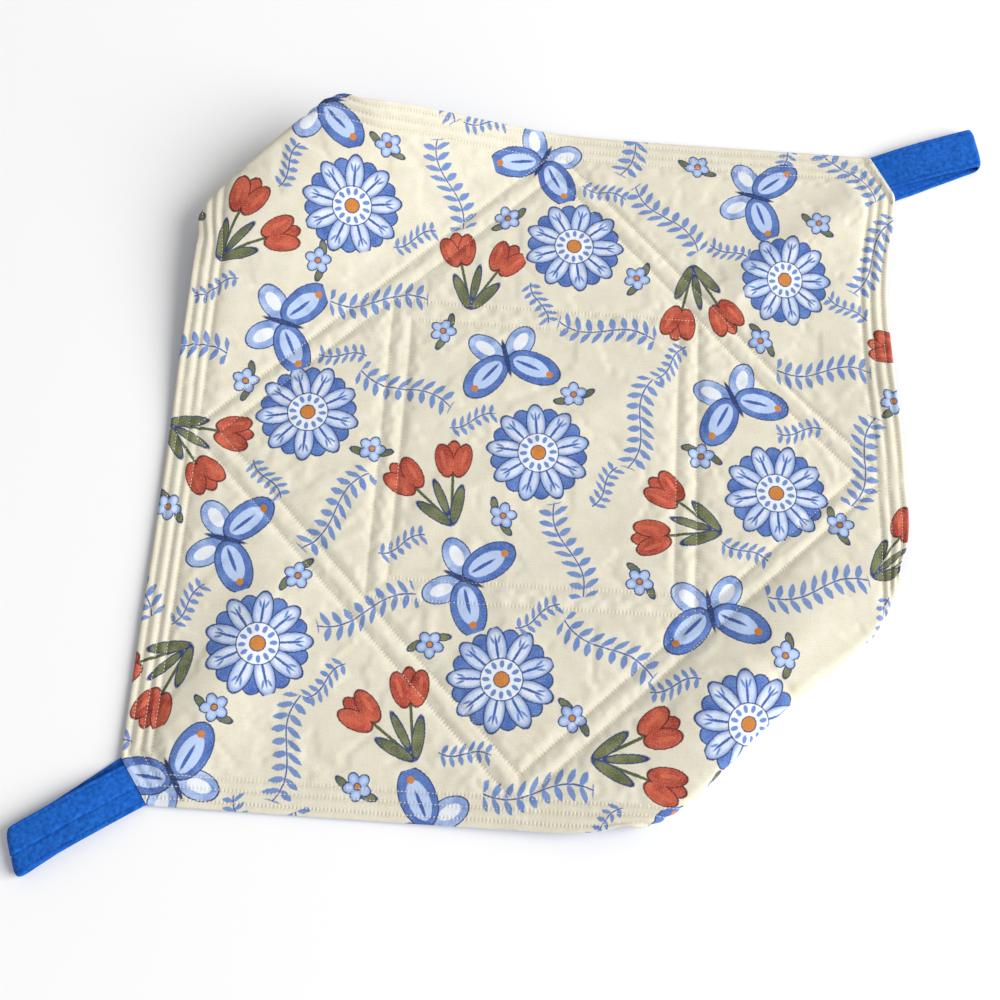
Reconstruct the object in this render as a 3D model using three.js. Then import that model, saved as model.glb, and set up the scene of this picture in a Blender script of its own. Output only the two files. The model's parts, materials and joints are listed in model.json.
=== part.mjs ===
// Casserole carrier: a square quilted pad of four plies. Two opposite corners carry strap
// loops to hold it by, and the other two corners are folded under.
// Millimetres, +Z up, underside on Z = 0, X along the diagonal of the handles.
import * as THREE from "three";

// Square pad, finished size
const padSide = 457;

// Plies, from the underside up, and the play between two of them
const liningThickness = 0.5;
const heatBattingThickness = 2;
const cottonBattingThickness = 2;
const coverThickness = 0.5;
const plyGap = 0.1;

// Fold lines: each panel stops this far from the line it folds on
const foldGap = 0.3;

// Folded corners: cloth from the sharp corner back to the fold, and the height of the
// lining above the table at the two ends of the fold
const backTuck = 58;
const backLowHeight = 6;
const backHighHeight = 40;
const frontTuck = 111;
const frontLowHeight = 9;
const frontHighHeight = 14;
const tuckAngle = THREE.MathUtils.degToRad(50);
const tuckBevel = THREE.MathUtils.degToRad(30);
const tuckClearance = 0.4;

// Rise of the pad over the corner that lies under it
const riseMargin = 3;
const riseWidth = 60;
const riseDepth = 35;

// Strap loops: a stitched sleeve over a stiffening core
const strapWidth = 27;
const strapWall = 0.5;
const strapCore = 0.7;
const coreGap = 0.1;
const loopGap = 7.5;
const seamMargin = 0.5;
const anchorDepth = 13;
const battingSetback = 1;

// Each strap as it is sewn in: length of the loop, turn of its seam across the corner, lean
// of the loop away from square to the seam, slant of its bend, shift between its two legs
const rightStrap = {
  reach: 69,
  skew: THREE.MathUtils.degToRad(13),
  lean: THREE.MathUtils.degToRad(8.6),
  slant: 0.38,
  legShift: 8,
};
const leftStrap = {
  reach: 76,
  skew: THREE.MathUtils.degToRad(9.3),
  lean: 0,
  slant: 0.25,
  legShift: 5,
};

// Cut across each plain corner
const plainCut = 34;

// Sizes that follow from the ones above
const halfDiagonal = padSide / Math.SQRT2;
const foldLine = halfDiagonal / 2;
const strapThickness = 2 * strapWall + 2 * coreGap + strapCore;

const plies = stackPlies([
  { name: "lining", thickness: liningThickness, colour: 0x2c62b0, roughness: 0.9 },
  { name: "heat_batting", thickness: heatBattingThickness, colour: 0xc4c8cc, roughness: 0.7 },
  { name: "cotton_batting", thickness: cottonBattingThickness, colour: 0xf1ecdf, roughness: 1 },
  { name: "cover", thickness: coverThickness, colour: 0xe9e0c8, roughness: 0.95 },
]);
const padThickness = plies[plies.length - 1].high;

function stackPlies(list) {
  let low = 0;
  return list.map((ply) => {
    const high = low + ply.thickness;
    const placed = { ...ply, low, high };
    low = high + plyGap;
    return placed;
  });
}

function lerp(a, b, t) {
  return a + (b - a) * t;
}

function fade(value, from, to) {
  const t = Math.min(1, Math.max(0, (value - from) / (to - from)));
  return 1 - t * t * (3 - 2 * t);
}

function steps(from, to, count) {
  return Array.from({ length: count + 1 }, (_, i) => lerp(from, to, i / count));
}

// Half width of a corner triangle at a cloth distance from its fold line
function halfWidth(distance) {
  return foldLine - distance;
}

// Lift of the pad over the front corner, which lies folded under it
const frontFlapLength = foldLine - frontTuck;
const frontTipLength = frontTuck - plainCut / 2;
const riseHalf = frontTuck - 0.95 * frontFlapLength + riseMargin;
const riseReach = frontTipLength - 0.95 * frontFlapLength + riseMargin;

function padRise(across, depth) {
  const sideways = fade(Math.abs(across), riseHalf, riseHalf + riseWidth);
  const inward = fade(depth, riseReach, riseReach + riseDepth);
  return (padThickness + tuckClearance) * sideways * inward;
}

// A closed body between two sheets that share one grid of flat cloth points
function sheetBody(grid, low, high, place) {
  const rows = grid.length;
  const columns = grid[0].length;
  const positions = [];
  for (const height of [low, high]) {
    for (const row of grid) {
      for (const [first, second] of row) {
        positions.push(...place(first, second, height));
      }
    }
  }
  const at = (level, row, column) => (level * rows + row) * columns + column;
  const triangles = [];
  const quad = (a, b, c, d) => triangles.push([a, b, c], [a, c, d]);
  for (let r = 0; r + 1 < rows; r += 1) {
    for (let c = 0; c + 1 < columns; c += 1) {
      quad(at(1, r, c), at(1, r + 1, c), at(1, r + 1, c + 1), at(1, r, c + 1));
      quad(at(0, r, c), at(0, r, c + 1), at(0, r + 1, c + 1), at(0, r + 1, c));
    }
  }
  for (let r = 0; r + 1 < rows; r += 1) {
    const last = columns - 1;
    quad(at(0, r, 0), at(0, r + 1, 0), at(1, r + 1, 0), at(1, r, 0));
    quad(at(0, r + 1, last), at(0, r, last), at(1, r, last), at(1, r + 1, last));
  }
  for (let c = 0; c + 1 < columns; c += 1) {
    const last = rows - 1;
    quad(at(0, 0, c + 1), at(0, 0, c), at(1, 0, c), at(1, 0, c + 1));
    quad(at(0, last, c), at(0, last, c + 1), at(1, last, c + 1), at(1, last, c));
  }
  return closedGeometry(positions, triangles);
}

// Geometry with its faces turned outward
function closedGeometry(positions, triangles) {
  const point = (i) => new THREE.Vector3().fromArray(positions, 3 * i);
  let volume = 0;
  for (const [a, b, c] of triangles) {
    volume += point(a).dot(point(b).cross(point(c))) / 6;
  }
  const order = volume < 0 ? triangles.map(([a, b, c]) => [a, c, b]) : triangles;
  const geometry = new THREE.BufferGeometry();
  geometry.setAttribute("position", new THREE.Float32BufferAttribute(positions, 3));
  geometry.setIndex(order.flat());
  geometry.computeVertexNormals();
  return geometry;
}

function addMesh(group, name, geometry, colour, roughness) {
  const material = new THREE.MeshStandardMaterial({ color: colour, roughness, metalness: 0 });
  const mesh = new THREE.Mesh(geometry, material);
  mesh.name = name;
  group.add(mesh);
}

function addPlies(group, panel, gridFor, place) {
  for (const ply of plies) {
    const geometry = sheetBody(gridFor(ply), ply.low, ply.high, place);
    addMesh(group, `${ply.name}_${panel}`, geometry, ply.colour, ply.roughness);
  }
}

// Middle of the pad, a square between the four fold lines
function addCentre(root) {
  const group = new THREE.Group();
  const edge = foldLine - foldGap;
  const ramp = steps(riseHalf, riseHalf + riseWidth, 4);
  const left = ramp.map((x) => -x).reverse();
  const across = [-edge, ...left, ...ramp, edge];
  const inward = steps(riseReach, riseReach + riseDepth, 4).map((depth) => depth - foldLine);
  const along = [-edge, ...inward, edge];
  const grid = across.map((x) => along.map((y) => [x, y]));
  addPlies(group, "centre", () => grid, (x, y, height) => [
    x,
    y,
    padRise(x, y + foldLine) + height,
  ]);
  root.add(group);
}

// Group at the middle of a fold line: local X points out to the corner
function flapGroup(root, turn) {
  const group = new THREE.Group();
  group.rotation.z = turn;
  group.position.set(foldLine * Math.cos(turn), foldLine * Math.sin(turn), 0);
  root.add(group);
  return group;
}

// Cut across a handle corner: as long as the two legs of the strap need
function cornerLine({ skew, legShift }) {
  const slope = Math.tan(skew);
  const cornerCut = strapWidth + legShift + 2 * seamMargin;
  const reach = foldLine - (cornerCut * Math.cos(skew) * (1 - slope * slope)) / 2;
  const end = (side) => {
    const along = (reach + side * slope * foldLine) / (1 + side * slope);
    return [along, side * halfWidth(along)];
  };
  const ends = [end(-1), end(1)];
  const middle = [0, 1].map((axis) => (ends[0][axis] + ends[1][axis]) / 2);
  return { ends, middle };
}

// Corner that carries a strap loop
function addHandleFlap(root, panel, turn, strap) {
  const group = flapGroup(root, turn);
  const { ends, middle } = cornerLine(strap);
  const sidePoints = (distance) => [-1, 1].map((side) => [distance, side * halfWidth(distance)]);
  const seamHalf = (strapWidth + strap.legShift) / 2;
  const seamDepth = anchorDepth * Math.cos(strap.skew) + seamHalf * Math.sin(strap.skew);
  const battingEnd = sidePoints(middle[0] - seamDepth - battingSetback);
  const gridFor = (ply) => {
    const outer = ply.name.endsWith("batting") ? battingEnd : ends;
    return [sidePoints(foldGap), outer];
  };
  addPlies(group, panel, gridFor, (along, across, height) => [along, across, height]);
  addHandle(group, panel.replace("_flap", "_handle"), middle, strap);
}

// Strap loop with its two ends in the seam of the cut corner
function addHandle(flap, name, seam, strap) {
  const { skew, legShift } = strap;
  const group = new THREE.Group();
  group.position.set(seam[0], seam[1], 0);
  group.rotation.z = -skew;
  flap.add(group);
  const lining = plies[0];
  const cover = plies[plies.length - 1];
  const endThickness = (cover.low - lining.high - 3 * plyGap) / 2;
  const lowerMiddle = lining.high + plyGap + endThickness / 2;
  const upperMiddle = cover.low - plyGap - endThickness / 2;
  const path = loopPath(lowerMiddle, upperMiddle, strap);
  const slant = strap.slant / strap.reach;
  const strapColour = 0x1f66c4;
  const sleeveWidth = strapWidth - 2 * strapWall;
  const sleeveBore = strapThickness - 2 * strapWall;
  const wall = strapSections(path, strapWidth, strapThickness, slant);
  const bore = strapSections(path, sleeveWidth, sleeveBore, slant);
  const sleeve = sweptSleeve(wall, bore);
  addMesh(group, `${name}_sleeve`, sleeve, strapColour, 0.9);
  const core = sweptBar(strapSections(path, sleeveWidth - 2 * coreGap, strapCore, slant));
  addMesh(group, `${name}_core`, core, 0xefeee8, 1);
  const ends = [["lower", lowerMiddle, -legShift / 2], ["upper", upperMiddle, legShift / 2]];
  for (const [end, middle, across] of ends) {
    const seat = [[-anchorDepth, middle, across], [-foldGap, middle, across]];
    const bar = sweptBar(strapSections(seat, strapWidth - 2 * seamMargin, endThickness, 0));
    addMesh(group, `${name}_${end}_end`, bar, strapColour, 0.9);
  }
}

// Middle line of the strap: out along the table, round the bend and back to the seam
function loopPath(lowerMiddle, upperMiddle, { reach, lean, legShift }) {
  const bend = (loopGap + strapThickness) / 2;
  const flat = strapThickness / 2;
  const bendStart = reach - bend - strapThickness / 2;
  const top = flat + 2 * bend;
  const settle = 12;
  const opened = 0.6 * bendStart;
  const shift = (out) => (legShift / 2) * (1 - out / reach);
  const aside = (out, side) => side * shift(out) - out * Math.tan(lean);
  const path = [[foldGap, lowerMiddle, aside(foldGap, -1)]];
  for (const out of steps(settle, bendStart, 2)) {
    path.push([out, flat, aside(out, -1)]);
  }
  for (const turn of steps(0, Math.PI, 10).slice(1)) {
    const out = bendStart + bend * Math.sin(turn);
    path.push([out, flat + bend * (1 - Math.cos(turn)), aside(out, -Math.cos(turn))]);
  }
  for (const out of steps(opened, foldGap, 8)) {
    const rise = Math.sin((Math.PI / 2) * (out / opened));
    path.push([out, lerp(upperMiddle, top, rise), aside(out, 1)]);
  }
  return path;
}

// Rectangular sections of a strap along a path of places out, up and across. The slant
// carries one edge of the loop further out than the other, most at its bend
function strapSections(path, width, thickness, slant) {
  return path.map((_, i) => {
    const before = path[Math.max(0, i - 1)];
    const after = path[Math.min(path.length - 1, i + 1)];
    const run = Math.hypot(after[0] - before[0], after[1] - before[1]);
    const normal = [-(after[1] - before[1]) / run, (after[0] - before[0]) / run];
    return [[-1, -1], [1, -1], [1, 1], [-1, 1]].map(([side, face]) => {
      const out = path[i][0] + (normal[0] * face * thickness) / 2;
      const across = (side * width) / 2;
      return [
        out * (1 + slant * across),
        across + path[i][2],
        path[i][1] + (normal[1] * face * thickness) / 2,
      ];
    });
  });
}

function sweptBar(sections) {
  const positions = sections.flat(2);
  const triangles = ringWalls(sections.length, 4, 0, 4);
  const last = 4 * (sections.length - 1);
  triangles.push([0, 2, 1], [0, 3, 2]);
  triangles.push([last, last + 1, last + 2], [last, last + 2, last + 3]);
  return closedGeometry(positions, triangles);
}

function sweptSleeve(outer, inner) {
  const positions = outer.map((ring, i) => [...ring, ...inner[i]]).flat(2);
  const triangles = ringWalls(outer.length, 8, 0, 4);
  for (const [a, b, c] of ringWalls(outer.length, 8, 4, 4)) {
    triangles.push([a, c, b]);
  }
  const last = 8 * (outer.length - 1);
  for (let i = 0; i < 4; i += 1) {
    const next = (i + 1) % 4;
    triangles.push([i, i + 4, next], [next, i + 4, next + 4]);
    triangles.push([last + i, last + next, last + i + 4]);
    triangles.push([last + next, last + next + 4, last + i + 4]);
  }
  return closedGeometry(positions, triangles);
}

// Side walls between neighbouring rings of points
function ringWalls(count, stride, offset, size) {
  const triangles = [];
  for (let s = 0; s + 1 < count; s += 1) {
    for (let i = 0; i < size; i += 1) {
      const a = s * stride + offset + i;
      const b = s * stride + offset + ((i + 1) % size);
      triangles.push([a, b, b + stride], [a, b + stride, a + stride]);
    }
  }
  return triangles;
}

// Plain corner: a flap that rises from its fold line, then the tip folded under it
function addTuckedFlap(root, panel, turn, tuck, lowHeight, highHeight, riseAt) {
  const group = flapGroup(root, turn);
  const length = foldLine - tuck;
  const foldHeight = (share) => lerp(lowHeight, highHeight, (1 - share) / 2);
  const endOut = (share) => {
    const slope = (foldHeight(share) - riseAt(share * tuck)) / length;
    return length * Math.sqrt(1 - slope * slope);
  };
  const creaseOut = (share) => lerp(endOut(1), endOut(-1), (1 - share) / 2);
  const placeFlap = (distance, across, height) => {
    const share = across / halfWidth(distance);
    const along = distance / length;
    const up = lerp(riseAt(across), foldHeight(share), along);
    return [along * creaseOut(share), across, up + height];
  };
  const shares = [-1, ...riseShares().map((s) => -s).reverse(), ...riseShares(), 1];
  const cells = (distances) => distances.map((d) => shares.map((s) => [d, s * halfWidth(d)]));
  const flapCells = cells(steps(foldGap, length - foldGap, 5));
  addPlies(group, `${panel}_flap`, () => flapCells, placeFlap);

  const placeTip = (distance, across, height) => {
    const share = across / tuck;
    const start = creaseOut(share);
    const radius = (foldHeight(share) - padThickness) / (1 - Math.cos(tuckAngle));
    const walked = distance - length;
    const turned = Math.min(walked / radius, tuckAngle);
    const lean = tuckAngle - turned;
    const level = walked - turned * radius;
    const out = start - radius * (Math.sin(tuckAngle) - Math.sin(lean)) - level;
    const up = padThickness + radius * (1 - Math.cos(lean));
    return [out + height * Math.sin(lean), across, up - height * Math.cos(lean)];
  };
  const tipLength = tuck - plainCut / 2;
  const tipRows = steps(7, tipLength, Math.ceil(tipLength / 9)).map((d) => length + d);
  const tipCells = (ply) => {
    const bevel = foldGap + ply.low * Math.tan(tuckBevel);
    return cells([length + bevel, ...tipRows]);
  };
  addPlies(group, `${panel}_corner`, tipCells, placeTip);
}

// Columns of a tucked flap: they follow the ends of the rise in the pad
function riseShares() {
  return steps(riseHalf, riseHalf + riseWidth, 3).map((across) => across / foldLine);
}

const carrier = new THREE.Group();
carrier.name = "casserole_carrier";
addCentre(carrier);
addHandleFlap(carrier, "right_flap", 0, rightStrap);
addHandleFlap(carrier, "left_flap", Math.PI, leftStrap);
addTuckedFlap(carrier, "back", Math.PI / 2, backTuck, backLowHeight, backHighHeight, () => 0);
addTuckedFlap(carrier, "front", -Math.PI / 2, frontTuck, frontLowHeight, frontHighHeight, (across) =>
  padRise(across, 0));

export default carrier;
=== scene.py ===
import json
import math

import bpy
import bmesh
import numpy as np
from mathutils import Matrix, Vector


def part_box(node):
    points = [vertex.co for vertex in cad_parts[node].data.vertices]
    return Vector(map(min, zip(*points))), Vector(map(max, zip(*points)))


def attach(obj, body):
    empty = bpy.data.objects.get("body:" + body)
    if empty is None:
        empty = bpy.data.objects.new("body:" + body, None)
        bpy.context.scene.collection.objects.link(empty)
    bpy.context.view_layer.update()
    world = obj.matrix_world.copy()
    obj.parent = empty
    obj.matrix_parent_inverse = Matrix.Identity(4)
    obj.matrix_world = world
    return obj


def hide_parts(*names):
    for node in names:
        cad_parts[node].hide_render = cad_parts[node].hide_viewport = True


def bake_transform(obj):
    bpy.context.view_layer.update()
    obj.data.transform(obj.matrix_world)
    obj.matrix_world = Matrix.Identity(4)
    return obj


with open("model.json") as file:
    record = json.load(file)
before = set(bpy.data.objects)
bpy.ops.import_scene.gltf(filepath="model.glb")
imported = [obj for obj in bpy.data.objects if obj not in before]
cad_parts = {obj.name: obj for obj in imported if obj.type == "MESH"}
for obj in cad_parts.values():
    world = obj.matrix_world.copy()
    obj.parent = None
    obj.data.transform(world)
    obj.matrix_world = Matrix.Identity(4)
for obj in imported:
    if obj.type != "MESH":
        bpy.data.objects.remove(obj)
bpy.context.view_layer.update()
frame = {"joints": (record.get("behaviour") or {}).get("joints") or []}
scene = bpy.context.scene
root2 = math.sqrt(2)
joints = {j["name"]: j for j in frame["joints"]}

# Pad, in millimetres: the sizes that the frame gives are read from it
pad = {
    "fold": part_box("cover_centre")[1].x * 1000 + 0.3,  # centre to a fold line
    "thick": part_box("cover_right_flap")[1].z * 1000,
    "cut": 34.0,  # length of a cut-off plain corner
    "seamCut": {"right": 36.0, "left": 33.0},  # and of the corners with a strap
    "grid": 1.5,  # mesh step of the cover
    "liningGrid": 3.0,
    "bend": 8.0,  # cloth each side of a fold line that bends
    "rowHeight": 0.75,  # cover over the middle of the pad, at a stitch row
    "puff": 1.5,  # extra height far from any row
    "puffReach": 4.0,
    "puffPower": 1.15,
    "least": 0.45,  # the cover never lies closer to the middle
    "liningLeast": 0.4,
    "liningShare": 0.85,  # the lining puffs less
    "lip": 2.75,  # cover over the end of a strap
    "edgeRound": 3.4,
}
pad["side"] = pad["fold"] * root2  # half the side of the square
pad["mid"] = pad["thick"] / 2
rise = {  # lie of the cover over the front corner, which is folded beneath
    "lift": pad["thick"] + 0.4, "lay": 0.93, "reach": 0.95, "sides": 0.72,
    "inside": 3.0, "outside": 75.0, "outsideLeft": 160.0, "leftBy": (-80, 0),
    "bulge": 6.0, "bulgeFrom": -26.0, "bulgeTop": 20.0, "bulgeAt": 12, "bulgeHalf": (20, 98),
}
tucks = {  # folded corners: depth, heights of the crease's ends, its wander (place, shift)
    "back": {
        "tuck": 58.0, "low": 16.0, "high": 49.0, "sign": 1, "shoulder": 5.0, "spread": 5.0, "turn": 16.0,
        "wave": [(-64, -13), (-58, -8.5), (-50, -4), (-40, -1.4), (-20, -0.6), (20, 0), (42, 1.1),
                 (50, 0.3), (58, -3.5), (64, -9)],
    },
    "front": {
        "tuck": 111.0, "low": 8.5, "high": 9.5, "sign": -1, "shoulder": 0.0, "spread": 0.0, "turn": 20.0,
        "wave": [(-118, -14), (-110, -9), (-100, -4.4), (-88, -2), (-70, -0.6), (-50, -1.8), (-31, -3.5),
                 (-8, -3.9), (14, -3.6), (37, -1.6), (50, 0.2), (62, 1), (74, 0.2), (84, -1.9), (95, -5.3),
                 (105, -9.2), (112, -13), (118, -17)],
    },
}
for t in tucks.values():
    t["length"] = pad["fold"] - t["tuck"]
    t["tip"] = t["tuck"] - pad["cut"] / 2
    t["start"] = rise["lift"] if t["sign"] < 0 else 0.0
    for end in ("low", "high"):
        climb = (t[end] - t["start"]) / t["length"]
        t[end + "Out"] = float(t["length"] * math.sqrt(1 - climb ** 2))
roll = {  # how the pad goes round a crease
    "shoulder": 32.0, "settle": 0.65, "before": 4.0, "after": 7.4, "angle": math.radians(50), "soften": 14.0,
    "outer": 3.6, "spreadAlong": (-60, -15), "spreadWidth": 30,
}
stitchRows = {
    "edge": (4.5, 11.4, 17.7),  # distance of the rows from the pad's edge
    "square": (85.6, 98.3),  # half size of the small square
    "diamond": (139.6, 152.3),  # centre to the sides of the diamond
    "pitch": 2.2,
    "length": 1.6,
    "thread": 0.5,
    "sink": 0.02,  # of the threads in the lining
    "probe": 0.4,  # step to the points that give a stitch its tilt
    "meet": 0.5,  # rows of the diamond run this far into the border
}


def fade(value, low, high):
    t = np.clip((value - low) / (high - low), 0, 1)
    return 1 - t * t * (3 - 2 * t)


def lerp(a, b, t):
    return a + (b - a) * t


def bell(value, width):
    return np.exp(-((value / width) ** 2))


def valueNoise(u, v, size, seed):
    # smooth noise on a fixed lattice, about -1 to 1
    table = np.random.RandomState(seed).uniform(-1, 1, (64, 64))
    a, b = u / size + 200.3, v / size + 200.7
    i, j = np.floor(a).astype(int), np.floor(b).astype(int)
    fa, fb = a - i, b - j
    fa, fb = fa * fa * (3 - 2 * fa), fb * fb * (3 - 2 * fb)
    get = lambda p, q: table[p % 64, q % 64]
    return lerp(lerp(get(i, j), get(i + 1, j), fa), lerp(get(i, j + 1), get(i + 1, j + 1), fa), fb)


def toSides(x, y):
    # handle diagonal frame to the frame of the square's sides
    return (x - y) / root2, (x + y) / root2


def toDiagonals(u, v):
    return (u + v) / root2, (v - u) / root2


def addObject(name, data):
    made = bpy.data.objects.new(name, data)
    scene.collection.objects.link(made)
    return made


def gridQuads(index):
    return np.stack([index[:-1, :-1], index[1:, :-1], index[1:, 1:], index[:-1, 1:]], axis=-1).reshape(-1, 4)


# Outline of the flat pad: four sides and four cut corners, each as a normal and a distance
def seamFrame(name):
    j = joints[name]
    out = np.array([-j["axis"][1], j["axis"][0]])
    return np.array(j["pos_m"][:2]) * 1000, out / np.linalg.norm(out)


seams = {"right": seamFrame("right_handle_swing"), "left": seamFrame("left_handle_swing")}


def toSquare(p):
    return np.array(toSides(*p))


cornerReach = 2 * pad["fold"] - pad["cut"] / 2
outline = []
for name, side in (("right", (0, 1)), ("front", (1, 0)), ("left", (0, -1)), ("back", (-1, 0))):
    outline.append((np.array(side, float), pad["side"]))
    if name in seams:
        middle, out = seams[name]
        outline.append((toSquare(out), float(toSquare(middle) @ toSquare(out))))
    else:
        out = np.array([0, 1.0 if name == "back" else -1.0])
        outline.append((toSquare(out), cornerReach))


def sideDistance(u, v):
    return pad["side"] - larger(u, v)


def cutDistance(u, v):
    return np.min([d - (n[0] * u + n[1] * v) for n, d in outline[1::2]], axis=0)


def edgeDistance(u, v):
    return np.minimum(sideDistance(u, v), cutDistance(u, v))


def nearestRow(depth, rows):
    return np.min([np.abs(depth - r) for r in rows], axis=0)


def larger(a, b):
    return np.maximum(np.abs(a), np.abs(b))


def smallerSide(a, b):
    return np.where(np.abs(a) > np.abs(b), b, a)


def rowFamilies(u, v):
    # distance to each family of rows, and the place along the row
    x, y = toDiagonals(u, v)
    edge = edgeDistance(u, v)
    yield nearestRow(edge, stitchRows["edge"]), smallerSide(u, v)
    yield nearestRow(larger(u, v), stitchRows["square"]), smallerSide(u, v)
    inBorder = np.maximum(0, stitchRows["edge"][2] - edge)
    yield nearestRow(larger(x, y), stitchRows["diamond"]) + 4 * inBorder, smallerSide(x, y)


def quiltProfile(u, v):
    # height of the cover over the pad's middle before any wrinkle
    near = np.min([d for d, _ in rowFamilies(u, v)], axis=0)
    body = pad["rowHeight"] + pad["puff"] * (1 - np.exp(-((near / pad["puffReach"]) ** pad["puffPower"])))
    return body, near


# Cloth over the flat quilt: rows are held, and the cover, cut a little large, wrinkles between them
quilting = {
    "step": 3.0, "frames": 16, "cap": 0.32, "start": 0.25, "held": 1.6, "heldEdge": 2,
    "ripple": 0.15, "rippleLength": 5.2, "rippleReach": 3.0,
    "cloth": {
        "quality": 5, "mass": 0.05, "tension_stiffness": 12, "compression_stiffness": 12, "shear_stiffness": 4,
        "bending_stiffness": 0.02, "tension_damping": 8, "compression_damping": 8, "bending_damping": 0.3,
        "air_damping": 6, "shrink_min": -0.022, "vertex_group_mass": "held", "pin_stiffness": 1,
    },
}


def simulateQuilt():
    n = int(2 * pad["side"] / quilting["step"]) + 1
    line = np.linspace(-pad["side"], pad["side"], n)
    u, v = [a.ravel() for a in np.meshgrid(line, line, indexing="ij")]
    body, near = quiltProfile(u, v)
    start = body + quilting["start"] * valueNoise(u, v, 7, 3) * (near > 2)
    corners = np.stack([u, v, start], axis=1) / 1000
    mesh = bpy.data.meshes.new("quiltTrial")
    mesh.from_pydata(corners.tolist(), [], gridQuads(np.arange(n * n).reshape(n, n)).tolist())
    trial = addObject("quiltTrial", mesh)
    group = trial.vertex_groups.new(name="held")
    held = np.nonzero((near < quilting["held"]) | (edgeDistance(u, v) < quilting["heldEdge"]))[0]
    group.add(held.tolist(), 1.0, "REPLACE")
    cloth = trial.modifiers.new("cloth", "CLOTH")
    for key, value in quilting["cloth"].items():
        setattr(cloth.settings, key, value)
    cloth.settings.effector_weights.gravity = 0
    cloth.collision_settings.use_collision = False
    for f in range(1, quilting["frames"] + 1):
        scene.frame_set(f)
    done = trial.evaluated_get(bpy.context.evaluated_depsgraph_get())
    co = np.zeros(n * n * 3)
    done.data.vertices.foreach_get("co", co)
    moved = co.reshape(-1, 3)[:, 2] * 1000 - body
    scene.frame_set(1)
    bpy.data.objects.remove(trial)
    bpy.data.meshes.remove(mesh)
    cap = quilting["cap"]
    print("quilt cloth: wrinkles from", round(moved.min(), 2), "to", round(moved.max(), 2), "mm")
    return line, (cap * np.tanh(moved / cap)).reshape(n, n)


wrinkleLine, wrinkleField = simulateQuilt()


def wrinkle(u, v):
    # cubic reading of the cloth field, so the finer mesh stays smooth
    n = len(wrinkleLine)
    step = wrinkleLine[1] - wrinkleLine[0]
    a = np.clip((u - wrinkleLine[0]) / step, 0, n - 1.001)
    b = np.clip((v - wrinkleLine[0]) / step, 0, n - 1.001)
    i, j = np.floor(a).astype(int), np.floor(b).astype(int)
    fa, fb = a - i, b - j
    weights = lambda f: (
        (-f + 2 * f ** 2 - f ** 3) / 2, (2 - 5 * f ** 2 + 3 * f ** 3) / 2,
        (f + 4 * f ** 2 - 3 * f ** 3) / 2, (f ** 3 - f ** 2) / 2)
    total = np.zeros_like(u)
    for p, wa in enumerate(weights(fa)):
        for q, wb in enumerate(weights(fb)):
            total += wa * wb * wrinkleField[np.clip(i + p - 1, 0, n - 1), np.clip(j + q - 1, 0, n - 1)]
    return total


def ripples(u, v):
    # small gathers across the rows
    total = np.zeros_like(u)
    for k, (d, along) in enumerate(rowFamilies(u, v)):
        drift = 1.6 * valueNoise(along, d * 0.2 + 40 * k, 14, 21 + k)
        wave = np.sin(2 * math.pi * along / quilting["rippleLength"] + 3 * drift)
        strength = 0.65 + 0.35 * valueNoise(u, v, 25, 31 + k)
        total += quilting["ripple"] * strength * wave * np.exp(-d / quilting["rippleReach"])
    return total


def edgeShare(distance):
    return np.clip(distance / pad["edgeRound"], 0, 1)


def rounded(share):
    # round edge of the pad: 0 at the seam, 1 further in
    return np.sqrt(np.maximum(0, 1 - (1 - share) ** 2))


def coverHeight(u, v):
    body, _ = quiltProfile(u, v)
    h = np.maximum(body + wrinkle(u, v) + ripples(u, v), pad["least"])
    side, cut = edgeShare(sideDistance(u, v)), edgeShare(cutDistance(u, v))
    h = h * rounded(side)
    # the plain corners close to a seam, the handle corners keep a lip over the strap
    x, y = toDiagonals(u, v)
    closed = rounded(cut)
    lip = np.maximum(h, pad["lip"]) * (0.9 + 0.1 * closed)
    lip = np.where(side < 0.999, np.minimum(lip, h + 2 * side), lip)
    return np.where((np.abs(x) > np.abs(y)) & (cut < 1), lip, h * closed)


def liningHeight(u, v):
    body, _ = quiltProfile(u, v)
    h = np.minimum(pad["liningShare"] * body + 0.5 * ripples(-u, v), pad["mid"] - 0.02)
    h = np.maximum(h, pad["liningLeast"])
    return h * rounded(edgeShare(sideDistance(u, v))) * rounded(edgeShare(cutDistance(u, v)))


def skinLevel(skin, u, v):
    # height of a skin over the pad's underside
    return pad["mid"] + coverHeight(u, v) if skin == "cover" else pad["mid"] - liningHeight(u, v)


# Lie of the pad: flat middle, lift over the corner beneath, raised back and front flaps
waves = {
    "height": 0.6, "size": 75.0, "offset": 0.15, "small": 0.35, "smallSize": 32,
    "endFrom": 20, "endAt": 50,  # past a fold line
    "crease": 0.35, "creaseWidth": 3.0, "creaseSize": 40, "creaseLines": ((19.4, 0.05, 4), (112, -0.02, 5)),
    "curl": 6.0, "curlAt": 62, "curlWidth": 36, "curlFrom": 176, "curlReach": 52, "curlIn": 3.5,
    "drawIn": 8.5, "drawAt": 125, "drawWidth": 62, "drawFrom": 70,
    # soft ridges from handle to handle: a point of the crest, and where along x it starts and ends
    "ridges": (
        {"height": 2.9, "at": (200, -4), "slope": -0.05, "width": 15, "span": (120, 185, 275, 305)},
        {"height": 0.87, "at": (0, 3), "slope": -0.106, "width": 11, "span": (-150, -90, 90, 150)},
        {"height": 4.35, "at": (-211, 22), "slope": 0.35, "width": 22, "span": (-306, -280, -205, -150)},
    ),
}


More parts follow.
